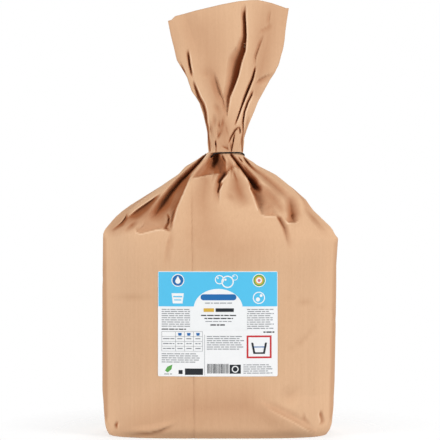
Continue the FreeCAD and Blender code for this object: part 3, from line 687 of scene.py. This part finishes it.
def push_of(spots, x, z):
    """How far a crease presses the sheet in at the places x, z, how closed the fold is, for painted shade,
    and where its lip gets a painted highlight.
    """
    nearest = np.full(x.shape, 1e9)
    push, closed, lip_highlight = np.zeros(x.shape), np.zeros(x.shape), np.zeros(x.shape)
    for (x0, z0, d0, l0, r0), (x1, z1, d1, l1, r1) in zip(spots, spots[1:]):
        run_x, run_z = x1 - x0, z1 - z0
        share = ((x - x0) * run_x + (z - z0) * run_z) / (run_x ** 2 + run_z ** 2)
        share = np.clip(share, 0, 1)
        off_x, off_z = x - x0 - share * run_x, z - z0 - share * run_z
        away = np.hypot(off_x, off_z)
        right_side = run_x * off_z - run_z * off_x > 0
        left, right = l0 + (l1 - l0) * share, r0 + (r1 - r0) * share
        fall = np.clip(1 - away / np.where(right_side, right, left), 0, 1)
        deep = d0 + (d1 - d0) * share
        tight = np.clip(0.75 * deep / (0.5 * (left + right)), 0, 1)
        short, own = np.minimum(left, right), np.where(right_side, right, left)
        # The lip just outside the short side of a lap gets a painted highlight.
        lip = np.clip(1 - np.abs(away - short - 0.5) / 1.1, 0, 1) * (own == short) * (short < 1.4)
        push = np.where(away < nearest, deep * fall, push)
        closed = np.where(away < nearest, tight * fall ** 0.75, closed)
        lip_highlight = np.where(away < nearest, lip * np.clip(deep / 4, 0, 1), lip_highlight)
        nearest = np.minimum(nearest, away)
    return push, closed, lip_highlight


def pushes(creases, x, z):
    """The pushes of all creases together, how closed their folds are, which sets their painted shade, and the
    painted highlight on their lips.
    """
    total, shut, pale = np.zeros(x.shape), np.zeros(x.shape), np.zeros(x.shape)
    for spots in creases:
        places = np.array(spots)
        reach = places[:, 3:].max() + 1
        low, high = places[:, :2].min(axis=0) - reach, places[:, :2].max(axis=0) + reach
        near = (x > low[0]) & (x < high[0]) & (z > low[1]) & (z < high[1])
        if near.any():
            push, closed, lip_highlight = push_of(spots, x[near], z[near])
            total[near] += push
            pale[near] = np.maximum(pale[near], lip_highlight)
            shut[near] = 1 - (1 - shut[near]) * (1 - np.clip(closed, 0, 0.96))
    return total, shut, pale


def in_mm(*groups):
    """Creases given in the picture, with their places and reaches in mm."""
    return [
        [
            (*from_picture(px, py, nearer_at(py)), deep, left * MM_PER_PX, right * MM_PER_PX)
            for px, py, deep, left, right in crease
        ]
        for group in groups for crease in group.values()
    ]


FRONT_BODY = in_mm(SHOULDER_CREASES, SMALL_SHOULDER)
BACK_BODY = in_mm(BACK_CREASES, BACK_WALL, SMALL_BACK_SHOULDER)
FRONT_NECK = in_mm(NECK_CREASES, SMALL_NECK)
BACK_NECK = in_mm(SMALL_BACK_NECK)
PAINTED_SHADE = in_mm(FRONT_PAINTED_SHADE)
THROUGH_FAN = in_mm(FAN_CREASES)
print("creases in front", len(FRONT_BODY) + len(FRONT_NECK) + len(THROUGH_FAN), "hollows", len(PAINTED_SHADE))


def ripple(x, z):
    """Long shallow waves, as filled paper has them."""
    wave = 0.5 * np.sin(x / 17 + z / 60 + 1.0) + 0.35 * np.sin(x / 8.3 - z / 45 + 2.2)
    wave += 0.45 * np.sin(z / 23 + x / 70) + 0.25 * np.sin(x / 29 + z / 13 + 0.7)
    return wave


SEAM_PLACES, SEAM_TOP, SEAM_STEP = ((0, 194.6), (250, 191.4)), 262.0, 0.8


def seam_groove(x, z):
    """The glued long seam of the paper tube, a shallow step down the front."""
    side = from_picture(by_height(SEAM_PLACES, z), MIDDLE_PX, 66)[0]
    fade = np.clip((SEAM_TOP - z) / 30, 0, 1)
    step = np.where(x < side, np.clip(1 - (side - x) / 7, 0, 1), np.clip(1 - (x - side) / 0.5, 0, 1))
    return fade * SEAM_STEP * step


def seam_shut(x, z):
    """The thin line of shade at the seam's edge."""
    side = from_picture(by_height(SEAM_PLACES, z), MIDDLE_PX, 66)[0]
    return np.clip((SEAM_TOP - z) / 30, 0, 1) * 0.2 * np.clip(1 - np.abs(x - side) / 0.8, 0, 1)


GUSSET = (
    (0, 0), (150, 0), (200, 1.5), (225, 9), (250, 14), (270, 8), (284, 0), (298, 0), (350, 7), (446, 11),
)
GUSSET_OPEN = 0.45


def pressed(x, y, z, across, along, inset, seam=1.0):
    """Moves the places of the smooth form by the folds, the gussets and the slant of the tie, and gives each
    place its fold number of painted shade and highlight.
    """
    deep, square = smooth_by_height(DEEP, z), by_height(SQUARE, z)
    centre = (np.interp(z, left_z, left_x) + np.interp(z, right_z, right_x)) / 2
    tuck = by_height(GUSSET, z)
    hollow = np.clip(1 - np.abs(along) / GUSSET_OPEN, 0, 1)
    full = np.clip(np.abs(across) / (1 - GUSSET_OPEN ** square) ** (1 / square), 0, 1)
    gathered = np.clip(tuck / 4, 0, 1)
    half = np.abs(x - centre) / np.maximum(np.abs(across), 1e-6)
    reach = (1 - gathered) * np.abs(across) + gathered * full
    x = centre + np.sign(across) * (half * reach - tuck * hollow - inset * (1 - np.abs(along)) ** 2)
    facing = np.clip(1.7 * np.abs(along) - 0.25, 0, 1)
    front, lower = y < 0, z < TIE_HEIGHT
    ahead, ahead_shut, ahead_pale = pushes(FRONT_BODY, x, z)
    behind, behind_shut, _ = pushes(BACK_BODY, x, z)
    body = np.where(lower, np.where(front, ahead, behind), 0)
    # shut is painted shade: the more closed a fold, the darker and warmer the paper is coloured; the back
    # gets less of it.
    shut = np.where(lower, np.where(front, ahead_shut, 0.4 * behind_shut) * facing, 0)
    body += np.where(lower & front, seam * seam_groove(x, z), 0)
    shut = np.maximum(shut, np.where(lower & front, seam_shut(x, z), 0))
    body += ripple(x, z) * np.interp(z, (0, 15, 60, 190, 215, 250), (0, .25, .3, .3, .6, 0.5)) * lower
    body = np.clip(body, -6, deep * 0.75) * facing
    through, through_shut, through_pale = pushes(THROUGH_FAN, x, z)
    # pale is a painted highlight on the lips of the front's folds.
    pale = np.where(front, np.where(lower, ahead_pale, through_pale), 0) * facing
    ahead, ahead_shut, _ = pushes(FRONT_NECK, x, z)
    behind, behind_shut, _ = pushes(BACK_NECK, x, z)
    crumple = np.where(front, ahead, behind)
    crumple_shut = np.where(front, ahead_shut, behind_shut)
    upper_shut = 1 - (1 - np.where(front, 0.85, 0.3) * through_shut) * (1 - crumple_shut)
    shut = np.where(lower, shut, upper_shut)
    # Painted shade of the soft places on the front.
    shut = 1 - (1 - shut) * (1 - np.where(front, pushes(PAINTED_SHADE, x, z)[0], 0))
    fan = np.interp(z, (TIE_HEIGHT, TIE_HEIGHT + 8, TIE_HEIGHT + 60), (0, .2, 1))
    through = through + ripple(x * 1.6 + 9, z * 1.3) * 0.8 * fan
    y_new = y * (1 - inset / deep) - np.sign(y) * (body + np.minimum(crumple, deep * 0.4) * facing)
    y_new += np.where(z > TIE_HEIGHT, through, 0)
    aside = np.clip(1.6 * (1 - np.abs(along)) - 0.2, 0, 1)
    side_push, side_shut, _ = pushes(SIDE_CREASES, y * np.where(across < 0, 1, -1), z)
    x_new = x - np.sign(across) * np.minimum(side_push, half * 0.5) * aside
    # The side folds add painted shade too.
    shut = 1 - (1 - shut) * (1 - 0.8 * np.clip(side_shut * aside, 0, 1))
    slant = np.clip(1 - np.abs(z - TIE_HEIGHT) / 26, 0, 1)
    drop = TIE_DROP * np.clip((y_new + NECK_DEEP) / (2 * NECK_DEEP), 0, 1)
    # The fold number is the painted shade, less the painted highlight.
    return x_new, y_new, z - slant * drop, shut - 0.35 * pale * (1 - shut)


# %% [markdown]
# The rings are joined to one skin. Inside the mouth it turns down into a slot, so the two walls of
# the fan show their thickness from above. The foot and the bottom of the slot are then closed, so
# that the bag is whole from below too.

# %% Build the bag
def bag_places():
    rings = []
    for level in levels:
        rings.append(np.array(pressed(*smooth_ring(level), 0.0)))
    top = height_of(2.0, np.zeros(1))[0] - TIE_HEIGHT
    for step in range(INNER + 1):
        share = step / INNER
        x, y, z, across, along = smooth_ring(2.0 - share * SLOT_DEPTH / top)
        pinch = share ** 1.5 * (np.abs(smooth_by_height(DEEP, z)) - PAPER)
        rings.append(np.array(pressed(x, y, z, across, along, PAPER + pinch)))
    return np.stack(rings)


places = bag_places()
ROWS = places.shape[0]
print("bag sheet:", ROWS, "rows of", COLUMNS, "columns")

bm = bmesh.new()
bmesh.ops.create_grid(bm, x_segments=COLUMNS, y_segments=ROWS - 1, size=0.5)
# Each place keeps its fold number, the painted shade and painted highlight of the paper.
fold = bm.verts.layers.float.new("fold")
for vert in bm.verts:
    column = round((vert.co.x + 0.5) * COLUMNS) % COLUMNS
    row = round((vert.co.y + 0.5) * (ROWS - 1))
    vert[fold] = places[row, 3, column]
    vert.co = places[row, :3, column] * MM
bmesh.ops.remove_doubles(bm, verts=bm.verts, dist=1e-6)
FOOT_RINGS = 2


def close_loop(bm, low, high, share):
    """Closes an open rim between two heights in mm with a ring of faces and a fan to its middle."""
    rim = [
        edge for edge in bm.edges
        if edge.is_boundary and all(low <= vert.co.z / MM <= high for vert in edge.verts)
    ]
    rim_verts = {vert for edge in rim for vert in edge.verts}
    middle = sum((vert.co for vert in rim_verts), Vector()) / len(rim_verts)
    for step in range(FOOT_RINGS):
        made = bmesh.ops.extrude_edge_only(bm, edges=rim)["geom"]
        moved = [part for part in made if isinstance(part, bmesh.types.BMVert)]
        rim = [part for part in made if isinstance(part, bmesh.types.BMEdge) and part.is_boundary]
        for vert in moved:
            vert.co = vert.co.lerp(middle, share if step + 1 < FOOT_RINGS else 1.0)
    bmesh.ops.remove_doubles(bm, verts=moved, dist=1e-6)
    return len(rim_verts)


foot_points = close_loop(bm, -1.0, 1.0, 0.4)
slot_points = close_loop(bm, TIE_HEIGHT, 1000.0, 0.4)
bmesh.ops.recalc_face_normals(bm, faces=bm.faces)
for face in bm.faces:
    face.smooth = True
print("closed the foot round", foot_points, "points and the slot round", slot_points)
print("triangles", sum(len(face.verts) - 2 for face in bm.faces))
print("open edges left", sum(edge.is_boundary for edge in bm.edges))
bag = make_object("paper_bag_skin", bm, kraft)
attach(bag, "root")
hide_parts("paper_bag")

# %% [markdown]
# The label is white paper with a satin coat. A sticker bends with the bag but is too stiff for
# its fine creases, so its sheet is cut flat, its corners are rounded, and then it is laid on
# the smooth form of the front.

# %% Label paper
def coated_paper(name, tint, shine=0.42):
    paper = Finish(name)
    fibres = paper.noise((700, 700, 700), detail=4.0)
    mottle = paper.noise((60, 60, 60), detail=2.0)
    darker = tuple(channel * 0.9 for channel in tint[:3]) + (1.0,)
    base = paper.between(fibres * 0.5 + mottle * 0.5, darker, tint)
    grain = paper.bump(fibres, 0.00006, 0.25)
    return paper.shade(Base_Color=base, Roughness=fibres * 0.12 + shine, Normal=grain)


label_white = coated_paper("label_white", colour(247, 248, 249))
LABEL_NEARER = 65


def front_y(x, z):
    """Depth of the smooth front wall in mm at places on the upright part of the bag."""
    left, right = np.interp(z, left_z, left_x), np.interp(z, right_z, right_x)
    across = (x - (left + right) / 2) / ((right - left) / 2)
    square = by_height(SQUARE, z)
    along = -(1 - np.abs(across) ** square) ** (1 / square)
    y = along * smooth_by_height(DEEP, z)
    return pressed(x, y, z, across, along, 0.0, seam=0.0)[1]


def lay_on_front(bm):
    """Lays a flat bmesh on the bag. It is drawn in picture places, with y as lift in mm."""
    flat = np.array([vert.co[:] for vert in bm.verts])
    x, z = from_picture(flat[:, 0], flat[:, 2], LABEL_NEARER)
    y = front_y(x, z) - flat[:, 1]
    for vert, place in zip(bm.verts, np.stack((x, y, z), axis=1) * MM):
        vert.co = place


LABEL_LEFT, LABEL_RIGHT, LABEL_TOP, LABEL_FOOT = 157.9, 277.7, 271.4, 376.4
LABEL_LIFT = 0.35
bm = bmesh.new()
bmesh.ops.create_grid(bm, x_segments=44, y_segments=38, size=0.5)
for vert in bm.verts:
    along_x, along_z = vert.co.x + 0.5, vert.co.y + 0.5
    vert.co = (
        LABEL_LEFT + along_x * (LABEL_RIGHT - LABEL_LEFT), LABEL_LIFT,
        LABEL_FOOT + along_z * (LABEL_TOP - LABEL_FOOT),
    )
corners = [vert for vert in bm.verts if len(vert.link_faces) == 1]
bmesh.ops.bevel(
    bm, geom=corners, offset=1.4, segments=4, profile=0.5, affect="VERTICES", material=-1
)
rim = [edge for edge in bm.edges if edge.is_boundary]
sides = bmesh.ops.extrude_edge_only(bm, edges=rim)
for part in sides["geom"]:
    if isinstance(part, bmesh.types.BMVert):
        part.co.y = 0.0
lay_on_front(bm)
bmesh.ops.recalc_face_normals(bm, faces=bm.faces)
label = make_object("label_sheet", bm, label_white)
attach(label, "root")
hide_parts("label")

# %% [markdown]
# The print is left general: fields of colour, plain marks for water, bubbles and a washtub, and
# small bars where small text would be. It is cut as very thin shapes, as from coloured foil,
# in layers that lie one twentieth of a millimetre apart. So its edges stay sharp from close by.

# %% Print tools
INKS = {
    "blue": (86, 198, 241), "deep_blue": (32, 110, 178), "white": (246, 248, 249), "grey": (128, 132, 138),
    "dark": (38, 42, 48), "red": (206, 52, 56), "green": (98, 170, 84), "gold": (220, 178, 66),
    "pale_grey": (196, 202, 208), "pink": (214, 120, 150),
}
ink_names = list(INKS)
LAYER = 0.05
sheet = bmesh.new()


def put(shape, ink, layer, centre, size, turn=0.0):
    """Moves a new flat shape to its place in the picture and inks it."""
    cos, sin = math.cos(turn), math.sin(turn)
    faces = {face for vert in shape for face in vert.link_faces}
    for vert in shape:
        wide, high = vert.co.x * size[0], vert.co.y * size[1]
        across, down = centre[0] + wide * cos - high * sin, centre[1] - wide * sin - high * cos
        vert.co = (across, LABEL_LIFT + layer * LAYER, down)
    for face in faces:
        face.material_index = ink_names.index(ink)


def bar(ink, layer, left, top, right, foot):
    wide, high = right - left, foot - top
    cells = bmesh.ops.create_grid(
        sheet, x_segments=max(1, math.ceil(wide / 4)), y_segments=max(1, math.ceil(high / 4)), size=0.5
    )
    put(cells["verts"], ink, layer, ((left + right) / 2, (top + foot) / 2), (wide, high))


def disc(ink, layer, x, y, radius, flat=1.0, rings=0, hollow=0.0):
    """A round shape, with rings of faces where it is large, or open in the middle."""
    rim = bmesh.ops.create_circle(sheet, cap_ends=True, segments=36, radius=1.0)
    verts = list(rim["verts"])
    face = verts[0].link_faces[0]
    for step in range(rings):
        before = set(sheet.verts)
        bmesh.ops.inset_individual(sheet, faces=[face], thickness=0.8 / rings)
        verts += [vert for vert in sheet.verts if vert not in before]
    if hollow:
        before = set(sheet.verts)
        bmesh.ops.inset_individual(sheet, faces=[face], thickness=1 - hollow)
        verts += [vert for vert in sheet.verts if vert not in before]
        bmesh.ops.delete(sheet, geom=[face], context="FACES_ONLY")
    put(verts, ink, layer, (x, y), (radius, radius * flat))


def patch(ink, layer, corners):
    """A small straight-sided shape."""
    verts = [sheet.verts.new((x, y, 0)) for x, y in corners]
    sheet.faces.new(verts)
    put(verts, ink, layer, (0, 0), (1, -1))


def words(ink, layer, left, right, top, high=0.85, seed=0):
    """A line of small bars as long as words are."""
    step = left
    count = seed
    while step < right - 1:
        long = min(right - step, 2.0 + 4.6 * abs(math.sin(count * 2.399 + 0.7)))
        bar(ink, layer, step, top, step + long, top + high)
        step += long + 0.8
        count += 1


def droplet(ink, layer, x, y, size):
    disc(ink, layer, x, y + 0.18 * size, 0.5 * size)
    patch(ink, layer + 0.3, [
        (x - 0.45 * size, y), (x, y - 0.8 * size), (x + 0.45 * size, y), (x, y + 0.1 * size)
    ])


# %% [markdown]
# The print follows the layout of such labels: a coloured band with round marks, a name place, two
# columns of small print, a table of amounts, a picture in a frame, and a code of bars at the foot.

# %% Print on the label
BAND_FOOT = 306.4
bar("blue", 1, LABEL_LEFT + 0.5, LABEL_TOP + 0.5, LABEL_RIGHT - 0.5, BAND_FOOT)
disc("white", 2, 218.2, 308.4, 24.5, flat=0.8, rings=5)
bar("white", 3, 190, BAND_FOOT, 247, 330)
# marks in the blue band
disc("white", 2, 177.9, 280.3, 6.4)
disc("deep_blue", 3, 177.9, 280.3, 5.5)
droplet("white", 4, 177.9, 280.2, 5.2)
patch("white", 2, [(171.6, 293.2), (183.8, 293.2), (182.6, 303.4), (172.8, 303.4)])
bar("blue", 3, 173.2, 296.0, 182.2, 297.2)
bar("blue", 3, 174.2, 299.4, 181.2, 300.4)
disc("white", 2, 259.1, 280.4, 6.6)
disc("green", 3, 259.1, 280.4, 5.8)
disc("gold", 4, 259.1, 280.4, 4.4)
disc("white", 5, 259.1, 280.4, 2.9)
disc("pink", 6, 259.1, 280.4, 1.5)
disc("white", 2, 258.9, 297.8, 6.1, hollow=0.84)
disc("white", 2, 257.9, 299.4, 2.1)
disc("white", 2, 261.1, 295.6, 1.4)
for x, y, radius in ((219.5, 279.6, 4.6), (227.6, 281.8, 6.2), (234.8, 277.4, 3.0)):
    disc("white", 2, x, y, radius, hollow=0.8)
    disc("white", 2, x - 0.35 * radius, y - 0.35 * radius, 0.18 * radius)
# name place
bar("deep_blue", 4, 203.6, 294.2, 233.4, 300.2)
disc("deep_blue", 4, 203.6, 297.2, 3.0)
disc("deep_blue", 4, 233.4, 297.2, 3.0)
words("grey", 4, 205, 232, 302.6, 0.8)
bar("gold", 4, 203.6, 308.2, 214.0, 311.8)
bar("dark", 4, 215.6, 308.2, 233.8, 311.8)
words("dark", 4, 201, 236.5, 314.8, 1.1, 2)
words("dark", 4, 204.5, 233, 317.8, 1.1, 5)
words("grey", 4, 205.5, 231.5, 321.0, 0.7, 3)
words("dark", 4, 210.5, 226.5, 324.2, 1.3, 4)
# text fields
for line in range(9):
    words("grey", 1, 161.6, 191 + 7 * abs(math.sin(line * 1.7)), 309.0 + 2.1 * line, 0.8, line)
words("dark", 1, 161.6, 186, 328.6, 1.1, 3)
for line in range(5):
    bar("grey", 1, 161.6, 331.4 + 4.9 * line, 202.7, 331.7 + 4.9 * line)
for x in (161.6, 175.4, 184.4, 193.3, 202.4):
    bar("grey", 1, x, 331.4, x + 0.3, 351.3)
for line in range(3):
    words("grey", 2, 163.0, 174.4, 338.2 + 4.9 * line, 0.9, line + 3)
    for x in (177.4, 186.4, 195.4):
        words("grey", 2, x, x + 5.2, 338.2 + 4.9 * line, 0.9, line)
for x in (179.9, 188.8, 198.0):
    patch("deep_blue", 2, [(x - 1.9, 332.9), (x + 1.9, 332.9), (x + 1.4, 335.6), (x - 1.4, 335.6)])
for line in range(5):
    words("grey", 1, 161.6, 196 + 5 * abs(math.sin(line * 2.3)), 353.4 + 2.05 * line, 0.8, line + 6)
bar("grey", 1, 204.5, 334.6, 204.8, 375.0)
for line in range(7):
    words("grey", 1, 206.8, 238 + 6 * abs(math.sin(line * 1.9 + 1)), 336.0 + 2.1 * line, 0.8, line + 2)
for line in range(10):
    words("grey", 1, 242.4, 268 + 6 * abs(math.sin(line * 1.3 + 2)), 309.0 + 2.1 * line, 0.8, line + 5)
words("dark", 1, 263.4, 274.4, 331.4, 1.4, 1)
# a washtub in a red frame
for left, top, right, foot in (
    (246.6, 335.4, 271.6, 337.2), (246.6, 356.4, 271.6, 358.2), (246.6, 337.2, 248.4, 356.4),
    (269.8, 337.2, 271.6, 356.4),
):
    bar("red", 1, left, top, right, foot)
patch("dark", 2, [(251.2, 342.6), (253.2, 342.6), (255.4, 353.8), (253.4, 353.8)])
patch("dark", 2, [(265.0, 342.6), (267.0, 342.6), (264.8, 353.8), (262.8, 353.8)])
bar("dark", 2, 253.6, 352.2, 264.6, 353.8)
bar("deep_blue", 2, 253.8, 346.4, 264.4, 347.4)
# foot of the label
patch("green", 1, [(165.0, 370.6), (167.4, 366.6), (172.4, 364.6), (171.4, 369.4), (167.6, 372.6)])
words("grey", 1, 164.0, 173.0, 373.6, 0.8)
bar("dark", 1, 178.6, 370.0, 182.6, 374.0)
bar("dark", 1, 185.0, 368.4, 203.0, 374.8)
step = 207.2
for count in range(22):
    wide = 0.28 + 0.42 * abs(math.sin(count * 1.93))
    bar("dark", 1, step, 363.8, step + wide, 373.4)
    step += wide + 0.26 + 0.3 * abs(math.sin(count * 2.7))
bar("dark", 1, 229.6, 364.6, 240.8, 373.6)
disc("white", 2, 235.2, 369.1, 3.4, hollow=0.7)
for line in range(5):
    words("grey", 1, 243.4, 268 + 5 * abs(math.sin(line * 1.1 + 3)), 364.4 + 2.05 * line, 0.8, line + 1)

lay_on_front(sheet)
sheet.normal_update()
inward = [face for face in sheet.faces if face.normal.y > 0]
bmesh.ops.reverse_faces(sheet, faces=inward)
print("print shapes", len(sheet.faces), "faces,", len(ink_names), "inks")
ink_papers = [coated_paper(f"ink_{name}", colour(*tint), 0.4) for name, tint in INKS.items()]
label_print = make_object("label_print", sheet, *ink_papers)
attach(label_print, "root")

# %% [markdown]
# The tie is one thin black wire. It runs straight over the front of the neck, goes round it and
# is twisted at the back. At the left end it dips under a pleat. A wire is one line with a round
# section, so it is drawn as a curve with a thickness and turned into a mesh.

# %% Wire
def black_wire():
    wire = Finish("black_wire")
    scuffs = wire.noise((1400, 1400, 1400), detail=2.0)
    return wire.shade(
        Base_Color=wire.between(scuffs, colour(7, 7, 8), colour(24, 24, 25)), Roughness=scuffs * 0.2 + 0.5,
        Specular_IOR_Level=0.25
    )


# Side place and row in the picture, and depth in mm: over the front, then round the back.
WIRE_PATH = (
    (212.8, 155.6, -11.6), (214.0, 153.9, -13.2), (216.5, 153.1, -14.0), (222, 152.8, -14.3),
    (232, 152.6, -14.3), (239, 152.6, -13.0), (242.0, 153.1, -10.8), (243.7, 154.2, -7.6),
    (244.2, 155.0, -3), (244.0, 155.8, 4), (241, 156.2, 10.5), (234, 156.3, 13.7), (224, 156.3, 14.2),
    (214, 156.4, 12.6), (207.4, 155.0, 7.6), (205.4, 154.0, 1), (206.0, 154.6, -3.5),
    (209.0, 156.4, -7.6), (210.8, 157.4, -9.6),
)
WIRE_RADIUS = 0.74
TWIST_LENGTH, TWIST_PITCH, TWIST_FALL = 10.0, 7.0, math.radians(35)


def wire_line(curve, places, closed):
    """A smooth line through the places, in mm."""
    line = curve.splines.new("POLY" if not closed else "NURBS")
    line.points.add(len(places) - 1)
    for point, place in zip(line.points, places):
        point.co = (*(value * MM for value in place), 1)
    line.use_cyclic_u = closed
    if closed:
        line.order_u = 3
        line.resolution_u = 6


curve = bpy.data.curves.new("wire_line", "CURVE")
curve.dimensions = "3D"
curve.bevel_depth = WIRE_RADIUS * MM
curve.bevel_resolution = 3
curve.use_fill_caps = True
loop = []
for px, py, y in WIRE_PATH:
    x, z = from_picture(px, py, -y)
    loop.append((x, y, z))
wire_line(curve, loop, True)
back = from_picture(226, 156.3, -14)
for strand in (0, 1):
    places = []
    for step in range(41):
        along = TWIST_LENGTH * step / 40
        angle = 2 * math.pi * along / TWIST_PITCH + math.pi * strand
        across, over = (WIRE_RADIUS * 1.05 * way for way in (math.cos(angle), math.sin(angle)))
        out = along * math.cos(TWIST_FALL) + over * math.sin(TWIST_FALL)
        down = along * math.sin(TWIST_FALL) - over * math.cos(TWIST_FALL)
        places.append((back[0] + across, 14.0 + out, back[1] - down))
    wire_line(curve, places, False)
drawn = bpy.data.objects.new("wire_line", curve)
bpy.context.collection.objects.link(drawn)
bpy.context.view_layer.update()
mesh = bpy.data.meshes.new_from_object(drawn.evaluated_get(bpy.context.evaluated_depsgraph_get()))
bpy.data.objects.remove(drawn)
bm = bmesh.new()
bm.from_mesh(mesh)
bmesh.ops.remove_doubles(bm, verts=bm.verts, dist=1e-6)
bmesh.ops.recalc_face_normals(bm, faces=bm.faces)
for face in bm.faces:
    face.smooth = True
print("wire faces", len(bm.faces))
tie = make_object("tie_wire", bm, black_wire())
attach(tie, "root")
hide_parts("wire_tie")
